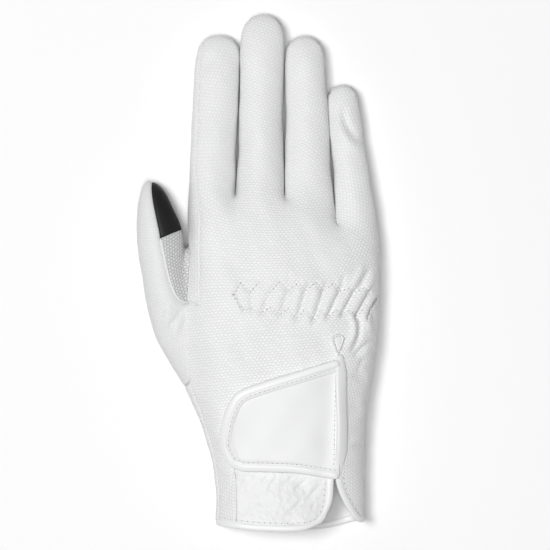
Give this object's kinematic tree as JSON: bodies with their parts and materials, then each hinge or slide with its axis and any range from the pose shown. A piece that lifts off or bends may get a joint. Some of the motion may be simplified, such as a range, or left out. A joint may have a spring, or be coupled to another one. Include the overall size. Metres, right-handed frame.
{
  "type": "riding glove",
  "caption": "White synthetic leather riding glove for a right hand, with gathered knuckles, a wrist tab that closes over a slit, and a dark touch pad on the thumb.",
  "frame": {"origin": "centre of the glove's box at the surface that it lies on", "axes": "+Y towards the fingertips, -X the thumb side, +Z the back of the hand"},
  "size_m": [0.111, 0.2364, 0.0295],
  "materials": {
    "white_leather": "matt, embossed grain",
    "smooth_leather": "smooth satin",
    "binding_leather": "smooth satin, rolled",
    "touch_leather": "matt, fine grain",
    "hook_fabric": "woven hook tape"
  },
  "bodies": {
    "root": {"back_panel": "white_leather", "palm_panel": "white_leather", "cuff_panel": "smooth_leather", "index_side_panel": "white_leather", "fourchette_index_middle": "white_leather", "fourchette_middle_ring": "white_leather", "fourchette_ring_little": "white_leather", "thumb_back": "white_leather", "thumb_front": "white_leather", "thumb_touch_patch": "touch_leather", "cuff_binding": "binding_leather", "closure_tab": "smooth_leather", "tab_binding": "binding_leather", "fastener_pad": "hook_fabric", "slit_stay": "smooth_leather"}
  },
  "joints": []
}
